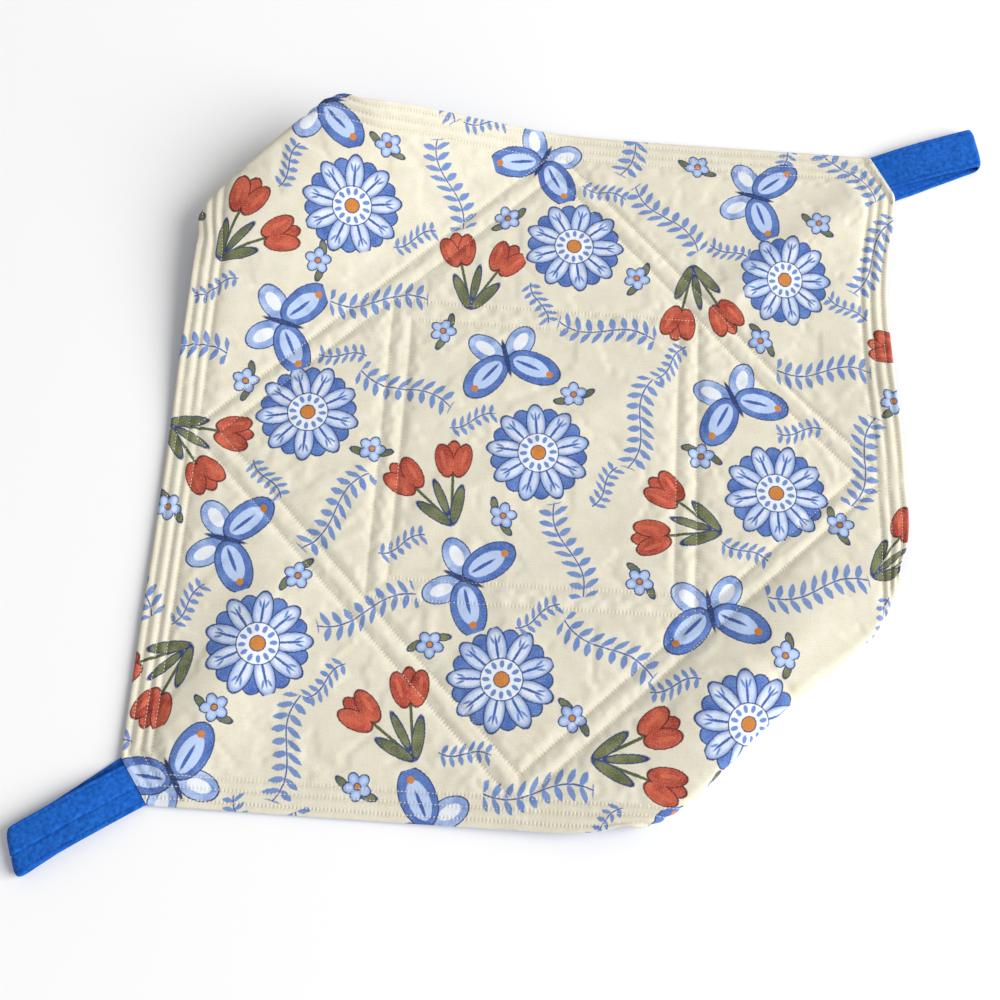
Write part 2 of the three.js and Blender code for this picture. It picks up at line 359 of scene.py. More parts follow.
def padRise(x, y):
    # step over the front corner: it follows that corner's outline
    t = tucks["front"]
    inward = (y + pad["fold"] + rise["reach"] * t["length"]) / rise["lay"]
    sides = (t["tuck"] - np.maximum(inward, 0) - np.abs(x)) * rise["sides"]
    within = np.minimum(sides, (t["tip"] - inward) * rise["lay"])
    ramp = lerp(rise["outside"], rise["outsideLeft"], fade(x, *rise["leftBy"]))
    return rise["lift"] * fade(-within, -rise["inside"], ramp)


def softWaves(x, y):
    u, v = toSides(x, y)
    noise = valueNoise(u, v, waves["size"], 8) + waves["small"] * valueNoise(u, v, waves["smallSize"], 9)
    z = waves["height"] * np.maximum(0, waves["offset"] + noise)
    for r in waves["ridges"]:
        crest = r["at"][1] + r["slope"] * (x - r["at"][0])
        a, b, c, d = r["span"]
        z = z + r["height"] * bell(y - crest, r["width"]) * fade(-x, -b, -a) * fade(x, c, d)
    # storage creases
    for across, place, (offset, tilt, seed) in zip((u, v), (v, u), waves["creaseLines"]):
        line = across + offset + tilt * place
        worn = 0.6 + 0.4 * valueNoise(place, place * 0, waves["creaseSize"], seed)
        z = z + waves["crease"] * np.exp(-np.abs(line) / waves["creaseWidth"]) * worn
    # the side between the right handle and the front fold curls up a little
    toEdge = np.clip((u - waves["curlFrom"]) / waves["curlReach"], 0, 1)
    return z + waves["curl"] * bell(v - waves["curlAt"], waves["curlWidth"]) * toEdge ** 1.6


def foldBulge(x, y):
    # the tucked front corner springs, and the flap over it stands highest just past the fold line
    s = -y - pad["fold"]
    top = rise["bulgeTop"]
    shape = fade(-s, -top, -rise["bulgeFrom"]) * fade(s, top, tucks["front"]["length"])
    return rise["bulge"] * shape * fade(np.abs(x - rise["bulgeAt"]), *rise["bulgeHalf"])


def softRamp(s):
    return 0.5 * (s + np.sqrt(s * s + roll["soften"] ** 2))


def tuckSlope(t, s, x):
    # slope of a raised flap at cloth distance s and place x, and how far out its crease lies
    share = np.clip(-t["sign"] * x / np.maximum(pad["fold"] - s, t["tuck"]), -1, 1)
    part = (1 - share) / 2
    return (lerp(t["low"], t["high"], part) - t["start"]) / t["length"], lerp(t["lowOut"], t["highOut"], part)


def foldWave(t, x):
    # the crease wanders a little and turns in at its ends
    places, shifts = np.array(t["wave"], float).T
    fine = np.linspace(places[0], places[-1], 120)
    smooth = np.convolve(np.pad(np.interp(fine, places, shifts), 5, "edge"), np.ones(11) / 11, "valid")
    return np.interp(x, fine, smooth)


def shoulderDrop(t, s, slope):
    # a raised flap rounds off towards its crease, the more the higher it stands
    part = np.clip((s - t["length"] + roll["shoulder"]) / roll["shoulder"], 0, 1)
    return t["shoulder"] * slope * t["length"] / t["high"] * part ** 2


def placePad(x, y, height):
    # point of the pad at flat place (x, y) and height over its underside
    px, py = x.copy(), y.copy()
    waveFade = fade(np.abs(y), pad["fold"] + waves["endFrom"], pad["fold"] + waves["endAt"])
    z = padRise(x, y) + foldBulge(x, y) + softWaves(x, y) * waveFade + height
    share = np.clip(height / pad["thick"], 0.02, 1.3)
    before, after = roll["before"] * share, roll["after"] * share
    angle = roll["angle"]
    for t in tucks.values():
        sign, length = t["sign"], t["length"]
        s = sign * y - pad["fold"]
        stretched = np.where(s > 0, np.minimum(s * length / (length - before), length), s)
        slope, reach = tuckSlope(t, stretched, x)
        along = np.clip(stretched / length, 0, 1)
        drop = shoulderDrop(t, stretched, slope)
        wander = foldWave(t, x)
        z = z + slope * softRamp(stretched) - drop
        reach = along * reach + along ** 3 * (wander + roll["settle"] * drop)
        py = np.where(s > 0, sign * (pad["fold"] + reach), py)
        # the lower end of the crease spreads a little
        lowEnd = fade(sign * x, *roll["spreadAlong"])
        px = px - sign * t["spread"] * lowEnd * bell(s - length, roll["spreadWidth"])
        # past the flap's end: round the fold, then back under the flap
        atEnd = np.full_like(s, length)
        slope, creaseOut = tuckSlope(t, atEnd, x)
        drop = shoulderDrop(t, atEnd, slope)
        creaseOut = creaseOut + wander + roll["settle"] * drop
        creaseUp = t["start"] + slope * softRamp(atEnd) - drop
        turn = np.clip((s - length + before) / (before + after), 0, 1)
        facing = math.pi / 2 - turn * (math.pi - angle)
        arcOut = creaseOut + height * np.cos(facing)
        arcUp = creaseUp + height * np.sin(facing)
        walked = np.maximum(0, s - length - after) * t["tip"] / (t["tip"] - after)
        radius = (creaseUp - pad["thick"]) / (1 - math.cos(angle))
        rolled = np.minimum(walked / radius, angle)
        lean = angle - rolled
        tipOut = creaseOut - radius * (math.sin(angle) - np.sin(lean)) - (walked - rolled * radius)
        tipOut = tipOut + height * np.sin(lean)
        tipUp = pad["thick"] + radius * (1 - np.cos(lean))
        tipUp = np.maximum(tipUp - height * np.cos(lean), 0.05)
        past, onTip = s > length - before, s > length + after
        py = np.where(past, sign * (pad["fold"] + np.where(onTip, tipOut, arcOut)), py)
        z = np.where(past, np.where(onTip, tipUp, arcUp), z)
    # the side near the right handle is drawn in
    u, v = toSides(px, py)
    drawn = waves["drawIn"] * bell(v - waves["drawAt"], waves["drawWidth"])
    drawn = drawn + waves["curlIn"] * bell(v - waves["curlAt"], waves["curlWidth"])
    drawn = drawn * fade(-u, -pad["side"], -waves["drawFrom"])
    return np.stack([px - drawn / root2, py + drawn / root2, z], axis=1)


# Flat grids of the pieces, in the handle diagonal frame
def centreGrid(step):
    half = pad["fold"] - pad["bend"]
    n = int(2 * half / step)
    line = np.linspace(-half, half, n + 1)
    return np.meshgrid(line, line, indexing="ij")


def flapGrid(name, step):
    half = pad["fold"] - pad["bend"]
    columns = int(2 * half / step) + 1
    q = np.linspace(-1, 1, columns)
    if name in seams:
        cutPoints = np.array(cutEnds(name))
        alongEnd = lerp(cutPoints[0, 0], cutPoints[1, 0], (q + 1) / 2)
        acrossEnd = lerp(cutPoints[0, 1], cutPoints[1, 1], (q + 1) / 2)
    else:
        alongEnd = np.full(columns, tucks[name]["length"] + roll["outer"])
        acrossEnd = q * (pad["fold"] - alongEnd)
    rows = int((alongEnd.max() + pad["bend"]) / step) + 1
    t = np.linspace(0, 1, rows)[:, None]
    along = -pad["bend"] + t * (alongEnd + pad["bend"])
    width = pad["fold"] - np.abs(along)
    across = q * width + t ** 8 * (acrossEnd - q * (pad["fold"] - np.abs(alongEnd)))
    return turned(name, along, across)


def tipGrid(name, step):
    first = tucks[name]["length"] + roll["outer"]
    last = pad["fold"] - pad["cut"] / 2
    rows = int((last - first) / step) + 1
    columns = int(2 * (pad["fold"] - pad["bend"]) / step) + 1
    along = np.linspace(first, last, rows)[:, None] * np.ones(columns)
    across = np.linspace(-1, 1, columns) * (pad["fold"] - along)
    return turned(name, along, across)


def cutEnds(name):
    # ends of the cut across a handle corner: distance past the fold line, and place across
    middle, out = seams[name]
    sign = 1 if name == "right" else -1
    half = pad["seamCut"][name] / 2 * np.array([-out[1], out[0]])
    points = [sign * (middle - half), sign * (middle + half)]
    return [(p[0] - pad["fold"], p[1]) for p in points]


def turned(name, along, across):
    out = pad["fold"] + along
    return {
        "right": (out, across), "left": (-out, -across),
        "back": (-across, out), "front": (across, -out),
    }[name]


def faceOutward(mesh, merge=False):
    # faces smooth and pointing out; edges between two materials stay sharp
    work = bmesh.new()
    work.from_mesh(mesh)
    if merge:
        bmesh.ops.remove_doubles(work, verts=work.verts, dist=2e-6)
        bmesh.ops.dissolve_degenerate(work, edges=work.edges, dist=1e-6)
    bmesh.ops.recalc_face_normals(work, faces=work.faces)
    if work.calc_volume(signed=True) < 0:
        bmesh.ops.reverse_faces(work, faces=work.faces)
    for face in work.faces:
        face.smooth = True
    for edge in work.edges:
        edge.smooth = len({face.material_index for face in edge.link_faces}) == 1
    work.to_mesh(mesh)
    work.free()


def paddedPiece(name, grid, skin, materials):
    # closed quilted half of the pad: its own skin and the face at the pad's middle
    index = np.arange(grid[0].size).reshape(grid[0].shape)
    x, y = [a.ravel() for a in grid]
    u, v = toSides(x, y)
    count = len(u)
    skinPoints = placePad(x, y, skinLevel(skin, u, v))
    backPoints = placePad(x, y, np.full(count, pad["mid"]))
    quads = gridQuads(index)
    ring = np.concatenate([index[0, :-1], index[:-1, -1], index[-1, :0:-1], index[:0:-1, 0]])
    after = np.roll(ring, -1)
    walls = np.stack([ring, after, after + count, ring + count], axis=1)
    faces = np.concatenate([quads, quads[:, ::-1] + count, walls])
    mesh = bpy.data.meshes.new(name)
    mesh.from_pydata((np.concatenate([skinPoints, backPoints]) / 1000).tolist(), [], faces.tolist())
    flat = np.stack([u, v], axis=1) / (2 * pad["side"]) + 0.5
    flat = np.concatenate([flat, flat])
    layer = mesh.uv_layers.new(name="flatCloth")
    loops = np.zeros(len(mesh.loops), int)
    mesh.loops.foreach_get("vertex_index", loops)
    layer.data.foreach_set("uv", flat[loops].ravel())
    inside = np.zeros(len(faces), int)
    inside[len(quads):] = 1
    mesh.polygons.foreach_set("material_index", inside)
    for m in materials:
        mesh.materials.append(m)
    faceOutward(mesh, merge=True)
    return addObject(name, mesh)


# Node trees: sockets with maths, for shaders and for the stitches
class Val:
    def __init__(self, tree, socket):
        self.tree, self.socket = tree, socket

    def math(self, operation, *others):
        return self.node("ShaderNodeMath", {"operation": operation}, [self, *others])

    def node(self, kind, settings=None, inputs=None, output=0):
        made = self.tree.nodes.new(kind)
        for key, value in (settings or {}).items():
            setattr(made, key, value)
        for key, value in inputs.items() if isinstance(inputs, dict) else enumerate(inputs or []):
            if isinstance(value, Val):
                self.tree.links.new(value.socket, made.inputs[key])
            else:
                made.inputs[key].default_value = value
        return Val(self.tree, made.outputs[output])

    def __add__(self, o): return self.math("ADD", o)
    def __radd__(self, o): return self.math("ADD", o)
    def __sub__(self, o): return self.math("SUBTRACT", o)
    def __rsub__(self, o): return self.node("ShaderNodeMath", {"operation": "SUBTRACT"}, [o, self])
    def __mul__(self, o): return self.math("MULTIPLY", o)
    def __rmul__(self, o): return self.math("MULTIPLY", o)
    def __truediv__(self, o): return self.math("DIVIDE", o)
    def __rtruediv__(self, o): return self.node("ShaderNodeMath", {"operation": "DIVIDE"}, [o, self])
    def __abs__(self): return self.math("ABSOLUTE")

    def clamp(self): return self.node("ShaderNodeClamp", None, [self, 0.0, 1.0])
    def sin(self): return self.math("SINE")
    def cos(self): return self.math("COSINE")
    def floor(self): return self.math("FLOOR")
    def sqrt(self): return self.math("SQRT")
    def low(self, o): return self.math("MINIMUM", o)
    def mad(self, a, b): return self.math("MULTIPLY_ADD", a, b)
    def wrap(self, o): return self.math("FLOORED_MODULO", o)
    def same(self, o): return self.math("COMPARE", o, 0.5)
    def high(self, o): return self.math("MAXIMUM", o)


def newMaterial(name):
    material = bpy.data.materials.new(name)
    material.use_nodes = True
    tree = material.node_tree
    return material, tree, tree.nodes["Principled BSDF"]


def dress(shader, colour, normal, roughness, gloss):
    for label, value in (("Base Color", colour), ("Normal", normal)):
        value.tree.links.new(value.socket, shader.inputs[label])
    for label, value in (("Roughness", roughness), ("Specular IOR Level", gloss)):
        shader.inputs[label].default_value = value


def noise(at, scale, detail):
    return at.node("ShaderNodeTexNoise", None, {"Vector": at, "Scale": scale, "Detail": detail})


def mixColour(a, b, factor):
    # colours as links, plain values or names of inks
    a, b = [inks[c] if isinstance(c, str) else c for c in (a, b)]
    tool = next(c for c in (factor, a, b) if isinstance(c, Val))
    return tool.node("ShaderNodeMix", {"data_type": "RGBA"}, {0: factor, 6: a, 7: b}, output=2)


def srgb(r, g, b):
    lin = lambda c: c / 255 / 12.92 if c <= 10 else ((c / 255 + 0.055) / 1.055) ** 2.4
    return (lin(r), lin(g), lin(b), 1.0)


def plainCloth(name, light, dark, scale, bump):
    material, tree, shader = newMaterial(name)
    place = Val(tree, None).node("ShaderNodeTexCoord", None, None, output=3)
    mottle, fine = noise(place, scale, 6.0), noise(place, 2600.0, 2.0)
    tint = (mottle * 1.7 - 0.35) * 0.75 + (fine - 0.5) * 0.5
    colour = mixColour(srgb(*dark), srgb(*light), tint.clamp())
    weave = fine.node("ShaderNodeBump", None, {"Strength": bump, "Distance": 0.0003, "Height": fine})
    dress(shader, colour, weave, 0.9, 0.2)
    return material


# Print of the cover: a scatter of blossoms, butterflies, tulips and leaf sprays, in flat cloth millimetres
inks = {name: srgb(*levels) for name, levels in {
    "ground": (230, 225, 206), "groundShade": (223, 216, 194), "line": (34, 58, 112), "deep": (58, 92, 168),
    "blue": (103, 136, 199), "pale": (186, 206, 240), "white": (232, 236, 243), "ink": (122, 146, 192),
    "red": (160, 50, 34), "redLight": (206, 98, 70), "redLine": (92, 26, 24), "green": (82, 92, 58),
    "greenLight": (128, 132, 88), "orange": (205, 128, 50),
}.items()}
printing = {
    "cell": 65.0, "turn": math.radians(21), "jitter": 5.0, "edge": 0.35, "outline": 0.32,
    "away": 99.0,  # added to the distance where a motif is not printed
    "yarn": 14.0, "slub": (0.14, 1.3), "groove": 0.9, "thread": (0.45, 0.55), "border": 9.0,
}


def ellipse(x, y, cx, cy, rx, ry, turn=0.0):
    # signed distance, near enough, to an ellipse
    c, s = math.cos(turn), math.sin(turn)
    a = x.mad(c / rx, y.mad(s / rx, -(cx * c + cy * s) / rx))
    b = y.mad(c / ry, x.mad(-s / ry, -(cy * c - cx * s) / ry))
    least = min(rx, ry)
    return a.mad(a, b * b).sqrt().mad(least, -least)


def petals(x, y, count, offset=0.0):
    # folds the plane into one wedge of a ring of petals
    radius = x.mad(x, y * y).sqrt()
    wedge = 2 * math.pi / count
    angle = (y.math("ARCTAN2", x) + (wedge / 2 + offset)).wrap(wedge) - wedge / 2
    return radius * angle.cos(), radius * angle.sin(), radius


class Motif:
    # prints one kind of motif on the colour below it
    def __init__(self, base, hidden, wash):
        self.colour, self.hidden, self.wash = base, hidden, wash

    def paint(self, ink, distance):
        cover = (distance + self.hidden).mad(-1 / printing["edge"], 0.5).clamp()
        self.colour = mixColour(self.colour, ink, cover)

    def outlined(self, ink, distance, line="line"):
        self.paint(ink, distance)
        self.paint(line, abs(distance) - printing["outline"])

    def washed(self, dark, light):
        return mixColour(dark, light, self.wash)


def scatter(u, v, cell, shift, seed, jitter):
    # places of a lattice, each with its own shift and turn
    a, b = u / cell + shift, v / cell + shift
    i, j = a.floor(), b.floor()
    place = u.node("ShaderNodeCombineXYZ", None, [i, j, seed])
    chance = place.node("ShaderNodeTexWhiteNoise", {"noise_dimensions": "3D"}, [place], output=1)
    split = [chance.node("ShaderNodeSeparateColor", None, [chance], output=k) for k in range(3)]
    x = (a - i - 0.5) * cell + (split[0] - 0.5) * jitter
    y = (b - j - 0.5) * cell + (split[1] - 0.5) * jitter
    c, s = (split[2] * 6.2832).cos(), (split[2] * 6.2832).sin()
    return x * c + y * s, y * c - x * s, i, j


def rosette(m, x, y):
    px, py, radius = petals(x, y, 9)
    qx, qy, _ = petals(x, y, 9, math.pi / 9)
    rx, ry, _ = petals(x, y, 12)
    front = ellipse(px, py, 20, 0, 12, 6.0)
    m.outlined(m.washed("deep", "blue"), ellipse(qx, qy, 21, 0, 9, 6.6))
    m.outlined(mixColour("blue", m.washed("pale", "white"), (front * -0.42).clamp()), front)
    m.paint("deep", ellipse(px, py, 18, 0, 8.5, 0.8))
    m.paint("blue", ellipse(px, abs(py), 24, 2.0, 2.6, 0.7, 0.35))
    m.outlined("white", radius - 12.5)
    m.paint("blue", ellipse(rx, ry, 9.2, 0, 2.3, 1.3))
    m.outlined("orange", radius - 4.6)


def butterfly(m, x, y):
    side = abs(x)
    low, high = math.radians(-48), math.radians(36)
    m.outlined(m.washed("blue", "pale"), ellipse(side, y, 11, -10, 12.5, 8.2, low))
    m.paint("white", ellipse(side, y, 11.5, -10.5, 7.0, 3.8, low))
    m.outlined(m.washed("deep", "blue"), ellipse(side, y, 15.5, 9, 17.5, 10.5, high))
    m.paint("pale", ellipse(side, y, 14, 8, 12.0, 6.2, high))
    m.paint("deep", ellipse(side, y, 12, 6.6, 8.0, 1.1, high))
    m.paint("orange", ellipse(side, y, 24, 15.5, 2.2, 2.2))
    m.paint("line", ellipse(x, y, 0, -1, 1.7, 13))


def tulips(m, x, y):
    # two stalks lean out from one foot
    side, up = abs(x), y + 27
    c, s = math.cos(math.radians(23)), math.sin(math.radians(23))
    a, b = side.mad(c, up * -s), side.mad(s, up * c)
    half, tilt = abs(a), math.radians(-14)
    leaf, flower = m.washed("green", "greenLight"), m.washed("red", "redLight")
    m.paint("green", (half - 0.9).high(abs(b - 16) - 17))
    m.outlined(leaf, ellipse(side, up, 7.5, 9, 3.4, 12.5, math.radians(-34)))
    m.outlined(leaf, ellipse(x, up, 0, 17, 2.6, 12))
    m.outlined(flower, ellipse(a, b, 0, 43, 5.0, 10.0), "redLine")
    m.outlined(flower, ellipse(half, b, 5.4, 40, 5.6, 11.0, tilt), "redLine")
    m.paint("redLight", ellipse(half, b, 6.2, 41, 1.3, 6.0, tilt))


def spray(m, x, y, half, pitch, size):
    # a curving stalk with pairs of leaves
    bent = y - (x * (2.6 / half)).sin() * (0.17 * half)
    ends = abs(x) - half
    leafX = x.wrap(pitch) - pitch / 2
    leaf = ellipse(leafX, abs(bent), 0.18 * size, 0.62 * size, 0.24 * size, 0.62 * size, math.radians(-28))
    m.paint(m.washed("ink", "blue"), leaf.high(ends))
    m.paint("deep", (abs(bent) - 0.45).high(ends))


def blossom(m, x, y):
    px, py, radius = petals(x, y, 5)
    shape = ellipse(px, py, 4.6, 0, 3.8, 3.1)
    m.outlined(m.washed("green", "greenLight"), ellipse(abs(x), y, 8.6, -2, 4.8, 2.2, 0.25))
    m.outlined(mixColour("blue", "pale", (m.wash * 0.5 - shape * 0.35).clamp()), shape)
    m.outlined("orange", radius - 1.9)


def printMotifs(u, v, wash):
    # one lattice of large motifs and, between them, one of small ones
    cell, jitter, away = printing["cell"], printing["jitter"], printing["away"]
    x, y, i, j = scatter(u, v, cell, 0.5, 3.0, jitter)
    kind = (i + j * 2.0).wrap(5.0)
    fx, fy, fi, fj = scatter(u, v, cell, 0.0, 8.0, jitter * 0.7)
    small = (fi + fj).wrap(2.0)
    colour = mixColour("groundShade", "ground", wash)
    for hidden, draw, place in (
            ((1 - kind.same(0.0)) * away, rosette, (x, y)),
            ((1 - kind.same(2.0)) * away, butterfly, (x, y)),
            ((1 - kind.same(4.0)) * away, tulips, (x, y)),
            (away * kind.wrap(2.0).same(0.0), spray, (x, y, 31.0, 7.0, 7.6)),
            (small * away, blossom, (fx, fy)),
            ((1 - small) * away, spray, (fx, fy, 15.0, 5.0, 5.4))):
        motif = Motif(colour, hidden, wash)
        draw(motif, *place)
        colour = motif.colour
    return colour


def stitchDimples(u, v):
    # 1 at the threads of the rows, 0 away from them
    across, upward = abs(u), abs(v)
    big = across.high(upward)
    along = v + (u - v) * across.math("LESS_THAN", upward)
    diagonal, other = abs(u + v) / root2, abs(v - u) / root2
    far = diagonal.high(other)
    diagonalAlong = (u + v) / root2 + ((v - u) - (u + v)) / root2 * other.math("LESS_THAN", diagonal)
    straight = abs(big - stitchRows["square"][0])
    for row in [stitchRows["square"][1]] + [pad["side"] - r for r in stitchRows["edge"]]:
        straight = straight.low(abs(big - row))
    slanted = abs(far - stitchRows["diamond"][0]).low(abs(far - stitchRows["diamond"][1]))
    slanted = slanted + (big - (pad["side"] - stitchRows["edge"][2])).high(0.0) * printing["border"]
    pulls = []
    swing, level = printing["thread"]
    for near, spot in ((straight, along), (slanted, diagonalAlong)):
        groove = (near * near * -printing["groove"]).math("EXPONENT")
        pulls.append(groove * ((spot * (2 * math.pi / stitchRows["pitch"])).cos() * swing + level))
    return pulls[0].high(pulls[1])


def printedCloth(name):
    material, tree, shader = newMaterial(name)
    start = Val(tree, None)
    flat = start.node("ShaderNodeUVMap", {"uv_map": "flatCloth"})
    side = 2 * pad["side"]
    u, v = [flat.node("ShaderNodeSeparateXYZ", None, [flat], output=k).mad(side, -side / 2) for k in (0, 1)]
    place = u.node("ShaderNodeCombineXYZ", None, [u, v, 0.0])
    soft, grain = noise(place, 0.09, 4.0), noise(place, 1.4, 3.0)
    wash = ((soft - 0.5) * 2.6 + (grain - 0.5) * 1.2 + 0.5).clamp()
    # hand-drawn edges
    u2 = u + (grain - 0.5) * 0.8
    v2 = v + (noise(place, 0.7, 2.0) - 0.5) * 1.2
    c, s = math.cos(printing["turn"]), math.sin(printing["turn"])
    colour = printMotifs(u2.mad(c, v2 * s), v2.mad(c, u2 * -s), wash)
    dimple = stitchDimples(u, v)
    # yarn
    yarn = (u * printing["yarn"]).sin() * (v * printing["yarn"]).sin()
    long, short = printing["slub"]
    threads = [noise(u.node("ShaderNodeCombineXYZ", None, [u * a, v * b, layer]), 1.0, 3.0)
               for a, b, layer in ((long, short, 0.0), (short, long, 4.0))]
    slub = (threads[0] + threads[1]) / 2
    tint = (slub - 0.5) * 0.42 + (grain - 0.5) * 0.6 + yarn * 0.02 + 0.5
    colour = mixColour(colour, (1, 1, 1, 1), (tint - 0.5).high(0.0))
    colour = mixColour(colour, (0.25, 0.24, 0.22, 1), (0.5 - tint).high(0.0))
    # painted shade: the cloth is darkened a little along the stitch grooves and dimples of the rows, where shade
    # falls
    colour = mixColour(colour, (0.32, 0.27, 0.18, 1), dimple * 0.12)
    weave = start.node("ShaderNodeBump", None, {
        "Strength": 0.25, "Distance": 0.00025, "Height": yarn * 0.4 + slub})
    sewn = start.node("ShaderNodeBump", {"invert": True}, {
        "Strength": 0.6, "Distance": 0.0004, "Height": dimple, "Normal": weave})
    dress(shader, colour, sewn, 0.92, 0.15)
    print("print nodes:", len(tree.nodes))
    return material


coverCloth = printedCloth("printedCotton")
liningCloth = plainCloth("liningCotton", (52, 112, 196), (24, 74, 158), 60.0, 0.4)
battingFleece = plainCloth("batting", (240, 236, 226), (224, 219, 206), 300.0, 0.6)
strapCloth = plainCloth("strapCotton", (44, 130, 236), (0, 64, 152), 420.0, 0.8)
coverThread = plainCloth("creamThread", (246, 240, 224), (226, 216, 190), 900.0, 0.3)
strapThread = plainCloth("blueThread", (30, 92, 184), (14, 62, 146), 900.0, 0.3)
print("materials made")

# Pieces of the pad
padPieces = {}
for skin, cloth, step in (("cover", coverCloth, pad["grid"]), ("lining", liningCloth, pad["liningGrid"])):
    cuts = [("centre", "Middle", centreGrid(step))]
    cuts += [(f"{n}_flap", f"{n.title()}Flap", flapGrid(n, step)) for n in ("right", "left", "back", "front")]
    cuts += [(f"{n}_corner", f"{n.title()}Corner", tipGrid(n, step)) for n in tucks]
    for panel, words, grid in cuts:
        padPieces[skin, panel] = paddedPiece(f"{skin}{words}", grid, skin, [cloth, battingFleece])
print("pad pieces:", len(padPieces))


# Stitches: one tree lays threads along any set of rows
def stitchTree():
    tree = bpy.data.node_groups.new("stitchRun", "GeometryNodeTree")
    for label, kind in (("Rows", "Geometry"), ("Pitch", "Float"), ("Stitch Length", "Float"),
                        ("Thread", "Float"), ("Finish", "Material")):
        tree.interface.new_socket(label, in_out="INPUT", socket_type=f"NodeSocket{kind}")
    tree.interface.new_socket("Stitches", in_out="OUTPUT", socket_type="NodeSocketGeometry")
    given = tree.nodes.new("NodeGroupInput")
    rows, pitch, length, thread, finish = [Val(tree, socket) for socket in given.outputs[:5]]
    curve = rows.node("GeometryNodeMeshToCurve", None, {"Mesh": rows})
    spaced = rows.node("GeometryNodeResampleCurve", {"mode": "LENGTH"}, {"Curve": curve, "Length": pitch})
    bead = rows.node("GeometryNodeMeshUVSphere", None, {"Segments": 6, "Rings": 5, "Radius": 0.5})
    size = rows.node("ShaderNodeCombineXYZ", None, [length, thread, thread])
    shaped = rows.node("GeometryNodeTransform", None, {"Geometry": bead, "Scale": size})
    lift = rows.node("GeometryNodeInputNamedAttribute", {"data_type": "FLOAT_VECTOR"}, {"Name": "lift"})
    tangent = rows.node("GeometryNodeInputTangent")
    aim = rows.node("FunctionNodeAxesToRotation", {"primary_axis": "Z", "secondary_axis": "X"},
                    {"Primary Axis": lift, "Secondary Axis": tangent})
    sewn = rows.node("GeometryNodeInstanceOnPoints", None, {"Points": spaced, "Instance": shaped, "Rotation": aim})
    sewn = rows.node("GeometryNodeRealizeInstances", None, {"Geometry": sewn})
    sewn = rows.node("GeometryNodeSetShadeSmooth", None, {"Geometry": sewn})
    sewn = rows.node("GeometryNodeSetMaterial", None, {"Geometry": sewn, "Material": finish})
    tree.links.new(sewn.socket, tree.nodes.new("NodeGroupOutput").inputs["Stitches"])
    return tree


stitchGroup = stitchTree()


def sewRows(name, runs, finish, sewing):
    # runs: lists of (point, lift direction) in metres, one list for each row
    points, edges, lifts = [], [], []
    for run in runs:
        first = len(points)
        points += [p for p, _ in run]
        lifts += [n for _, n in run]
        edges += [(first + i, first + i + 1) for i in range(len(run) - 1)]
    mesh = bpy.data.meshes.new(name + "Rows")
    mesh.from_pydata(points, edges, [])
    attribute = mesh.attributes.new("lift", "FLOAT_VECTOR", "POINT")
    attribute.data.foreach_set("vector", np.array(lifts, np.float32).ravel())
    guide = addObject(name + "Rows", mesh)
    modifier = guide.modifiers.new("stitches", "NODES")
    modifier.node_group = stitchGroup
    ids = {s.name: s.identifier for s in stitchGroup.interface.items_tree if s.in_out == "INPUT"}
    for label, key in (("Pitch", "pitch"), ("Stitch Length", "length"), ("Thread", "thread")):
        modifier[ids[label]] = sewing[key] / 1000
    modifier[ids["Finish"]] = finish
    made = bpy.data.meshes.new_from_object(guide.evaluated_get(bpy.context.evaluated_depsgraph_get()))
    bpy.data.objects.remove(guide)
    made.name = name
    return addObject(name, made)


def crossPoint(a, b, inset):
    n = np.array([a[0], b[0]])
    return np.linalg.solve(n, np.array([a[1] - inset, b[1] - inset]))


def closedRow(corners):
    points = []
    for p, q in zip(corners, corners[1:] + corners[:1]):
        count = max(2, int(np.linalg.norm(q - p)))
        points += [lerp(p, q, i / count) for i in range(count)]
    return points + [points[0]]


def padRows():
    turns = ((1, 1), (1, -1), (-1, -1), (-1, 1))
    rows = [[crossPoint(a, b, inset) for a, b in zip(outline, outline[1:] + outline[:1])]
            for inset in stitchRows["edge"]]
    rows += [[np.array(c) * half for c in turns] for half in stitchRows["square"]]
    rows += [[toSquare((a * half, b * half)) for a, b in turns] for half in stitchRows["diamond"]]
    return [closedRow(corners) for corners in rows]


def panelAt(x, y):
    size = max(abs(x), abs(y))
    if size <= pad["fold"] - pad["bend"]:
        return "centre"
    if abs(x) >= abs(y):
        return "right_flap" if x > 0 else "left_flap"
    name = "back" if y > 0 else "front"
    past = size - pad["fold"] > tucks[name]["length"] + roll["outer"]
    return f"{name}_corner" if past else f"{name}_flap"


def sewPad(skin, finish):
    up, sink = (1, 0) if skin == "cover" else (-1, stitchRows["sink"])
    step = stitchRows["probe"]
    runs = {}
    for number, row in enumerate(padRows()):
        u, v = np.array(row).T
        inner = number >= len(stitchRows["edge"]) + len(stitchRows["square"])
        keep = edgeDistance(u, v) > (stitchRows["edge"][2] - stitchRows["meet"] if inner else 0)
        x, y = toDiagonals(u, v)

        def beside(dx, dy):
            du, dv = toSides(dx, dy)
            return placePad(x + dx, y + dy, skinLevel(skin, u + du, v + dv) - sink)

        points = beside(0, 0)
        lift = np.cross(beside(step, 0) - points, beside(0, step) - points) * up
        lift /= np.linalg.norm(lift, axis=1)[:, None] + 1e-9
        current, owner = [], None
        for i in range(len(points)):
            here = panelAt(x[i], y[i]) if keep[i] else None
            stitch = (tuple(points[i] / 1000), tuple(lift[i]))
            if here != owner and current:
                runs.setdefault(owner, []).append(current + [stitch])
                current = []
            owner = here
            if here:
                current.append(stitch)
        if current:
            runs.setdefault(owner, []).append(current)
    pieces = {}
    for panel, found in runs.items():
        words = "".join(w.title() for w in panel.split("_"))
        longer = [run for run in found if len(run) > 2]
        pieces[panel] = sewRows(f"{skin}Stitches{words}", longer, finish, stitchRows)
    return pieces


